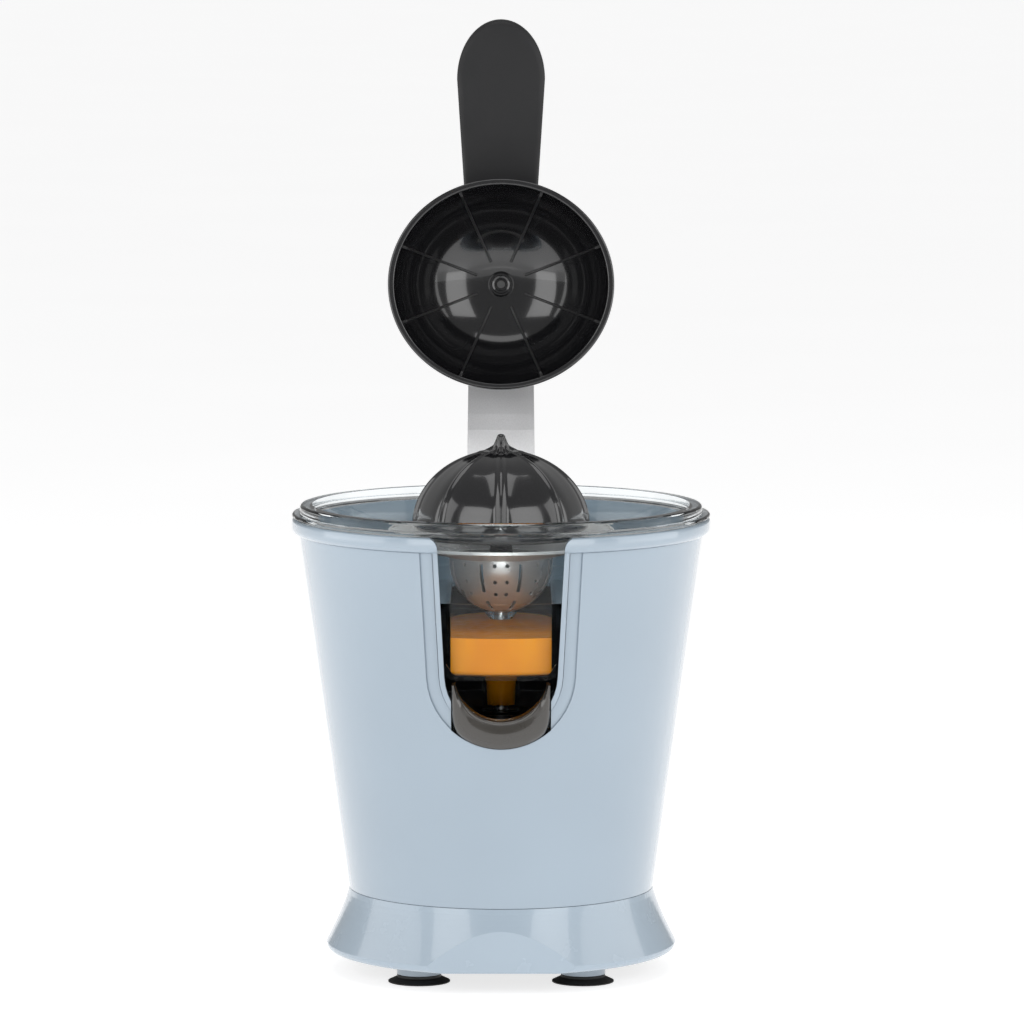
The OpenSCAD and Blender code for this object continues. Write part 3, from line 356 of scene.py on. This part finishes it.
# One finish for each material slot of the record
FINISHES = {
    "body_blue": moulded("body_blue", (0.306, 0.374, 0.440), 0.22, coat=0.8, grain=0.02, wear=1.03),
    "skirt_blue": moulded("skirt_blue", (0.335, 0.406, 0.474), 0.24, coat=0.6, grain=0.02, wear=1.03),
    "black_plastic": moulded("black_plastic", (0.008, 0.008, 0.009), 0.14, coat=0.8, grain=0.04, wear=2.2),
    "matte_black": moulded("matte_black", (0.016, 0.016, 0.017), 0.50, grain=0.4, grain_size=1500, wear=1.8),
    "handle_grey": moulded("handle_grey", (0.018, 0.018, 0.019), 0.52, grain=0.3, grain_size=1800,
                           wear=0.7, shine=0.25),
    "rubber": moulded("rubber", (0.010, 0.010, 0.010), 0.55, grain=0.3, grain_size=1200, wear=1.5),
    "steel": metal("steel", (0.86, 0.85, 0.84), 0.30),
    "silver": metal("silver", (0.90, 0.90, 0.91), 0.46, brushed=(6, 6, 1), metallic=0.5),
    "clear_plastic": clear("clear_plastic", (0.93, 0.96, 0.97)),
    "smoked_plastic": smoked("smoked_plastic", (0.042, 0.038, 0.033)),
    "brass": metal("brass", (0.72, 0.53, 0.24), 0.30),
    "copper": metal("copper", (0.70, 0.34, 0.18), 0.34, brushed=(1, 1, 12), scratch=0.3),
    "nylon": moulded("nylon", (0.76, 0.74, 0.66), 0.42, grain=0.2),
    "red_plastic": moulded("red_plastic", (0.45, 0.03, 0.025), 0.30),
}

STRAINER_STEEL = metal("strainer_steel", (0.84, 0.83, 0.81), 0.30, metallic=0.45)
DARK_STEEL = metal("dark_steel", (0.10, 0.10, 0.10), 0.40)
# Painted highlight: the ribs are moulded with the dome but get a lighter black, which stands in for the bright
# lines light draws along them
RIB_BLACK_PAINTED_HIGHLIGHT = moulded("rib_black_painted_highlight", (0.030, 0.030, 0.031), 0.34, coat=0.4, wear=1.6)
# Nodes that look brighter or darker than the rest of their slot
OWN_FINISH = {"strainer": STRAINER_STEEL, "dome_screw": DARK_STEEL}
SLOT_OF = {part["node"]: part["material_slot"] for part in frame["record"]["subparts"]}
for node, shown in frame["nodes"].items():
    shown.data.materials.clear()
    shown.data.materials.append(OWN_FINISH.get(node, FINISHES[SLOT_OF[node]]))

# ---- reamer -------------------------------------------------------------------------------

REAMER_R = reamer_high.x
REAMER_Z = reamer_low.z
SPIRE_Z = reamer_high.z
REAMER_FOOT = 4.5
REAMER_RISE = 35.5
REAMER_CROWN = 76
SPIRE_R = 3.5
RIB_HALF = 2.3
PANEL_DIP = 1.9
PANEL_BOWL = 0.9
RIB_LIFT = 2.0


def ridge(angle, every, half_width):
    """1 on the crest of the nearest ridge and 0 in the panels, with round flanks."""
    offset = abs((angle + every / 2) % every - every / 2)
    return 1 - smooth(offset / half_width)


def reamer_path(levels=44):
    """Radius and height from the foot, up the dome and the spire to its tip."""
    path = [(REAMER_R - 1, REAMER_Z), (REAMER_R - 0.3, REAMER_Z + 0.4), (REAMER_R, REAMER_Z + 1.5)]
    for i in range(levels):
        a = math.radians(REAMER_CROWN * i / (levels - 1))
        path.append((REAMER_R * math.cos(a), REAMER_Z + REAMER_FOOT + REAMER_RISE * math.sin(a) * 0.985))
    crown = [(0.19 * REAMER_R, 38.1), (0.145 * REAMER_R, 38.4), (SPIRE_R + 0.9, 38.9), (SPIRE_R, 39.8),
             (SPIRE_R * 0.86, 41.2), (SPIRE_R * 0.70, 43.2)]
    tip = [(SPIRE_R * 0.56, 1.6), (SPIRE_R * 0.5, 0.8), (SPIRE_R * 0.34, 0.2), (SPIRE_R * 0.15, 0), (0.02, 0)]
    return path + [(r, REAMER_Z + up) for r, up in crown] + [(r, SPIRE_Z - down) for r, down in tip]


def reamer_shape(steps=256):
    """A dome of four broad and four slim ribs, which rise into the spire, with hollow panels between."""
    rows = [[(REAMER_R * 0.93 * math.cos(2 * math.pi * j / steps),
              REAMER_R * 0.93 * math.sin(2 * math.pi * j / steps), REAMER_Z + 0.6) for j in range(steps)]]
    for r, z in reamer_path():
        fade = smooth((z - REAMER_Z - 3) / 6) * smooth((r - SPIRE_R) / 4.5)
        rib_half = math.degrees(RIB_HALF / max(r, 4.5))
        row = []
        for j in range(steps):
            angle = 360 * j / steps
            broad = ridge(angle, 90, rib_half * 1.25)
            slim = 0.62 * ridge(angle + 45, 90, rib_half * 0.8)
            crest = max(broad, slim)
            bowl = math.sin(math.radians(angle * 4)) ** 2
            dip = (PANEL_DIP * (1 - crest) + PANEL_BOWL * bowl) * fade
            reach = max(0.05, r - dip)
            lift = RIB_LIFT * crest * smooth((12 - r) / 8) * smooth((r - 1.5) / 2.5)
            a = math.radians(angle)
            row.append((reach * math.cos(a), reach * math.sin(a), z + lift))
        rows.append(row)
    return loft(rows, closed=True)


piece("reamer_cone", reamer_shape(), "reamer", FINISHES["black_plastic"], ["reamer"],
      sharp=60)

# ---- press dome ---------------------------------------------------------------------------

# The dome is made over the reamer, where the closed arm holds it, and then swung open.
DOME_R = 53.3
DOME_DEPTH = 50.0
DOME_FLAT = 0.93
DOME_RIM_Z = RIM_Z + 4.2
DOME_WALL = 3.0
BOSS_R = 5.6
OPEN_ARM = (Matrix.Translation((0, HINGE_Y * MM, HINGE_Z * MM)) @ Matrix.Rotation(SWING, 4, "X")
            @ Matrix.Translation((0, -HINGE_Y * MM, -HINGE_Z * MM)))


def dome_curve(inset, start, end=90, steps=40):
    """The dome's side from its rim to its crown, inset millimetres inside its outer face."""
    angles = [math.radians(start + (end - start) * i / steps) for i in range(steps + 1)]
    return [((DOME_R - inset) * abs(math.cos(a)) ** 0.8,
             DOME_RIM_Z + (DOME_DEPTH - inset) * math.sin(a) ** 0.9) for a in angles]


def dome_shape():
    """The dome's wall, with a rounded rim."""
    outside = [(DOME_R * 0.999, DOME_RIM_Z + 0.9)] + dome_curve(0, 2)
    inside = [(DOME_R - DOME_WALL, DOME_RIM_Z + 0.7)] + dome_curve(DOME_WALL, 2)
    lip = arc(DOME_R - 0.8, DOME_RIM_Z + 0.8, 0.8, -10, -90, 4)
    lip += arc(DOME_R - DOME_WALL + 0.6, DOME_RIM_Z + 0.6, 0.6, -90, -170, 4)
    return lathe(list(reversed(outside)) + lip + inside, 160, DOME_FLAT)


def dome_rib(angle):
    """A thin rib that stands on the dome's inner wall, high at the rim and low at the boss."""
    turn = math.radians(angle)
    squeeze = math.hypot(math.cos(turn), math.sin(turn) * DOME_FLAT)
    bearing = math.atan2(math.sin(turn) * DOME_FLAT, math.cos(turn))
    wall = dome_curve(DOME_WALL - 0.4, 7, 80, 26)
    rows = []
    for i, (r, z) in enumerate(wall):
        t = i / (len(wall) - 1)
        rise = 2.6 - 1.5 * t
        lean = math.atan2(z - DOME_RIM_Z, r)
        section = [(-0.9, 0), (-0.6, 0.5), (-0.55, rise - 0.6)] + arc(0, rise - 0.5, 0.5, 180, 0, 6)
        section += [(0.55, rise - 0.6), (0.6, 0.5), (0.9, 0)]
        row = []
        for across, up in section:
            reach = (r - up * math.cos(lean)) * squeeze
            x = reach * math.cos(bearing) - across * math.sin(bearing)
            y = reach * math.sin(bearing) + across * math.cos(bearing)
            row.append((x, y, z - up * math.sin(lean)))
        rows.append(row)
    return loft(rows, closed=True, cap_first=True, cap_last=True)


def dome_boss():
    """The screw's boss, with a groove round its middle."""
    top = DOME_RIM_Z + DOME_DEPTH - 2.4
    low = top - 4.6
    outside = [(BOSS_R + 0.8, top), (BOSS_R, low + 0.6), (BOSS_R - 0.4, low), (4.5, low)]
    groove = [(4.2, low + 0.5), (4.2, low + 1.6), (2.9, low + 1.9), (2.6, low + 1.2), (2.1, low + 1.2)]
    return lathe(outside + groove + [(2.0, top)], 48)


ribs = [dome_rib(22.5 + 45 * k) for k in range(8)]
piece("dome_shell", dome_shape(), "arm", FINISHES["black_plastic"], ["press_dome"],
      sharp=50, matrix=OPEN_ARM)
# The ribs carry a lighter black than the dome: a painted highlight along each rib
piece("dome_ribs", joined(*ribs), "arm", RIB_BLACK_PAINTED_HIGHLIGHT, matrix=OPEN_ARM)
piece("dome_boss", dome_boss(), "arm", FINISHES["black_plastic"], matrix=OPEN_ARM)

# ---- handle -------------------------------------------------------------------------------

HANDLE_END = 28.0
HANDLE_BASE = 17.5
PILLOW = 3.0


def handle_shape():
    """A tall grip that widens upwards and ends in half an ellipse."""
    half = handle_high.x
    top = handle_high.z - HANDLE_END
    outline = [(-HANDLE_BASE, handle_low.z), (HANDLE_BASE, handle_low.z)]
    for i in range(41):
        a = math.pi * i / 40
        outline.append((half * math.cos(a), top + HANDLE_END * math.sin(a)))
    middle = (handle_low.y + handle_high.y) / 2
    half_t = (handle_high.y - handle_low.y) / 2
    centre = handle_low.z + (handle_high.z - handle_low.z) * 0.55
    rows = []
    for angle in [a for a in range(-90, 91, 15) if a != 0]:
        # A pillow section: the outline draws in towards the two faces
        inset = PILLOW * (1 - math.cos(math.radians(angle)))
        side = 1 if angle > 0 else -1
        y = middle + (half_t - PILLOW + PILLOW * abs(math.sin(math.radians(angle)))) * side
        row = []
        for x, z in outline:
            row.append((x * (1 - inset / half), y, z + (centre - z) * inset / (handle_high.z - centre)))
        rows.append(row)
    return loft(rows, closed=True, cap_first=True, cap_last=True)


piece("handle_grip", handle_shape(), "arm", FINISHES["handle_grey"], ["handle"], sharp=40)

# ---- pour spout ---------------------------------------------------------------------------

NOTCH_Z = spout_low.z + 33.3
SPOUT_TOP = spout_high.z
SPOUT_X = spout_high.x
SPOUT_IN_R = 20.7
SPOUT_OUT_R = NOTCH_Z - spout_low.z
SPOUT_BACK = 8.0


def spout_reach(angle):
    """Distance from the notch's centre to the spout's edge: its sides run into its round bottom."""
    side = SPOUT_X / max(abs(math.cos(angle)), 0.02)
    return (SPOUT_OUT_R ** -12 + side ** -12) ** (-1 / 12)


def spout_shape():
    """A scoop with a beaded inner rim, a round belly and edges that turn in under the frame."""
    section = [(0.0, -SPOUT_BACK), (0.0, -3), (0.0, 0.6), (0.02, 1.3), (0.06, 1.7), (0.11, 1.5), (0.15, 0.9)]
    for i in range(9):
        t = i / 8
        belly = 1.4 * math.sin(math.pi * min(1, t * 1.1) * 0.62)
        section.append((0.19 + 0.80 * t, 1.0 + belly - 1.6 * t ** 4))
    section += [(1.0, -1.8), (1.0, -SPOUT_BACK)]
    start = math.asin((NOTCH_Z - SPOUT_TOP) / SPOUT_IN_R)
    steps = 72
    rows = []
    for i in range(steps + 1):
        angle = math.pi + start + (math.pi - 2 * start) * i / steps
        outer = spout_reach(angle)
        row = []
        for share, proud in section:
            r = SPOUT_IN_R + (outer - SPOUT_IN_R) * share
            x = r * math.cos(angle)
            z = NOTCH_Z + r * math.sin(angle)
            row.append((x, -math.sqrt((shell_r(z) + proud) ** 2 - x * x), z))
        rows.append(row)
    return loft(rows, closed=True, cap_first=True, cap_last=True)


piece("spout_scoop", spout_shape(), "housing", FINISHES["smoked_plastic"], ["pour_spout"],
      sharp=50)

# ---- rim band and notch lip ---------------------------------------------------------------

CORNER_R = 5.0
NOTCH_HALF = 28.12


def cutter(outline):
    """A scratch prism in front of the body, in X and Z, for cutting a copied CAD mesh."""
    points, faces = prism(outline, -RIM_R - 10, -RIM_R + 25)
    mesh = bpy.data.meshes.new("cutter")
    mesh.from_pydata([tuple(c * MM for c in p) for p in points], [], faces)
    build = bmesh.new()
    build.from_mesh(mesh)
    bmesh.ops.recalc_face_normals(build, faces=build.faces)
    build.to_mesh(mesh)
    build.free()
    made = bpy.data.objects.new("cutter", mesh)
    bpy.context.scene.collection.objects.link(made)
    return made


def rounded_rim():
    """The rim band with the corners rounded where it turns down into the notch's lip."""
    source = frame["nodes"]["rim_liner"]
    made = bpy.data.objects.new("rim_band", source.data.copy())
    bpy.context.scene.collection.objects.link(made)
    for side in (-1, 1):
        edge = NOTCH_HALF + 0.15
        corner = arc(edge + CORNER_R, RIM_TOP - CORNER_R, CORNER_R, 180, 90, 10)
        corner += [(edge + CORNER_R, RIM_TOP + 2), (edge - 2, RIM_TOP + 2), (edge - 2, RIM_TOP - CORNER_R)]
        tool = cutter([(side * x, z) for x, z in corner])
        cut = made.modifiers.new("corner", "BOOLEAN")
        cut.object = tool
        cut.operation = "DIFFERENCE"
        cut.solver = "EXACT"
        shaped = bpy.data.meshes.new_from_object(made.evaluated_get(bpy.context.evaluated_depsgraph_get()))
        made.modifiers.clear()
        made.data = shaped
        bpy.data.objects.remove(tool)
    made.data.shade_smooth()
    made.data.set_sharp_from_angle(angle=math.radians(30))
    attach(made, "housing")
    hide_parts("rim_liner")


rounded_rim()

# ---- juice --------------------------------------------------------------------------------

JUICE_Z = 161.0
JUICE_FLOOR = 144.1
JUICE_CORNER = 2.4
JUICE_HALF = 22.3
CONTAINER_INSET = 8.25


def juice_row(z, inset):
    """The juice's outline at one height: an arc at the front and half a circle behind the axis."""
    half = JUICE_HALF - inset
    front = shell_r(z) - CONTAINER_INSET - inset
    edge = math.degrees(math.asin(half / front))
    row = arc(0, 0, front, 270 - edge, 270 + edge, 24)
    row += arc(0, 0, half, 0, 180, 40)
    return [(x, y, z) for x, y in row]


def juice_shape():
    """The pressed juice: a block with a round lower edge and a slight meniscus."""
    rows = []
    for i in range(7):
        a = math.radians(90 * i / 6)
        level = JUICE_FLOOR + JUICE_CORNER * (1 - math.cos(a))
        rows.append(juice_row(level, JUICE_CORNER * (1 - math.sin(a))))
    rows += [juice_row(z, 0) for z in (150, 155, JUICE_Z - 1.5, JUICE_Z - 0.5)]
    rows.append(juice_row(JUICE_Z, 0.0))
    rows.append(juice_row(JUICE_Z - 0.35, 0.9))
    return loft(rows, closed=True, cap_first=True, cap_last=True)


def well_juice():
    """The juice that fills the container's well, round its centre tower."""
    top = JUICE_FLOOR - 0.1
    low = container_low.z + 1.8
    return lathe([(7.3, top), (6.2, low), (5.4, low), (5.4, top)], 64)


JUICE = pressed_juice()
piece("juice", juice_shape(), "container", JUICE, sharp=50)
piece("juice_in_well", well_juice(), "container", JUICE)

# ---- floor, light and camera --------------------------------------------------------------


FLOOR_REACH = 40.0
FLOOR_GAP = 0.0002
FLOOR_GLOW = 0.74
ROOM_FILL = 0.30
SOFTBOX_AIM = 0.2
CAMERA_PLACE = (0, -3.0, 0.521)
CAMERA_PITCH = 5.93
CAMERA_LENS = 233.3
CAMERA_SHIFT = 0.0107


def floor_finish():
    """Pale paper that glows a little, so that it runs into the white room."""
    tree = Tree("pale_floor")
    tone = tree.mix(tree.spread(tree.noise(3, 2), 0, 1), (0.62, 0.62, 0.625), (0.64, 0.64, 0.645))
    tree.links.new(tone, tree.shader.inputs["Base Color"])
    tree.set(Roughness=0.6, Specular_IOR_Level=0.2, Emission_Color=(1, 1, 1, 1), Emission_Strength=FLOOR_GLOW)
    return tree.material


def add_floor():
    mesh = bpy.data.meshes.new("floor")
    corners = [(x * FLOOR_REACH, y * FLOOR_REACH, 0) for x, y in ((-1, -1), (1, -1), (1, 1), (-1, 1))]
    mesh.from_pydata(corners, [], [(0, 1, 2, 3)])
    mesh.materials.append(floor_finish())
    floor = bpy.data.objects.new("floor", mesh)
    floor.location.z = cad_bounds[0][2] - FLOOR_GAP
    bpy.context.scene.collection.objects.link(floor)


def softbox(name, azimuth, elevation, distance, width, height, power, mirrored=True):
    """An area light that faces the juicer, azimuth degrees round from its front and that high."""
    light = bpy.data.lights.new(name, "AREA")
    light.shape = "RECTANGLE"
    light.size = width
    light.size_y = height
    light.energy = power
    lamp = bpy.data.objects.new(name, light)
    a = math.radians(azimuth)
    e = math.radians(elevation)
    target = Vector((0, 0, SOFTBOX_AIM))
    way = Vector((math.sin(a) * math.cos(e), -math.cos(a) * math.cos(e), math.sin(e)))
    lamp.location = target + distance * way
    lamp.visible_glossy = mirrored
    lamp.rotation_euler = (target - lamp.location).to_track_quat("-Z", "Y").to_euler()
    bpy.context.scene.collection.objects.link(lamp)


def add_world():
    """White where the camera sees past the floor, and a dimmer grey that lights the object."""
    world = bpy.data.worlds.new("studio")
    bpy.context.scene.world = world
    world.use_nodes = True
    nodes = world.node_tree.nodes
    links = world.node_tree.links
    backdrop = nodes["Background"]
    backdrop.inputs["Color"].default_value = (1, 1, 1, 1)
    fill = nodes.new("ShaderNodeBackground")
    fill.inputs["Color"].default_value = (1, 1, 1, 1)
    fill.inputs["Strength"].default_value = ROOM_FILL
    ray = nodes.new("ShaderNodeLightPath")
    mix = nodes.new("ShaderNodeMixShader")
    links.new(ray.outputs["Is Camera Ray"], mix.inputs["Fac"])
    links.new(fill.outputs["Background"], mix.inputs[1])
    links.new(backdrop.outputs["Background"], mix.inputs[2])
    links.new(mix.outputs["Shader"], nodes["World Output"].inputs["Surface"])


def add_camera():
    """The view of the photograph: from the front, about 3 m away and a little above the rim."""
    camera = bpy.data.objects.new("camera", bpy.data.cameras.new("camera"))
    camera.data.sensor_width = 36
    camera.data.lens = CAMERA_LENS
    camera.data.shift_x = CAMERA_SHIFT
    camera.location = CAMERA_PLACE
    camera.rotation_euler = (math.radians(90 - CAMERA_PITCH), 0, 0)
    bpy.context.scene.collection.objects.link(camera)
    bpy.context.scene.camera = camera


add_floor()
add_world()
for side in (-1, 1):
    softbox("softbox_front", side * 38, 16, distance=1.7, width=0.8, height=1.3, power=7.4)
    softbox("softbox_side", side * 88, 14, distance=1.7, width=1.5, height=1.6, power=10.5)
softbox("softbox_top", 0, 82, distance=1.6, width=1.2, height=1.2, power=6)
softbox("softbox_low", 0, 0, distance=3.3, width=1.2, height=0.36, power=10, mirrored=False)
add_camera()
bpy.context.scene.view_settings.view_transform = "Standard"
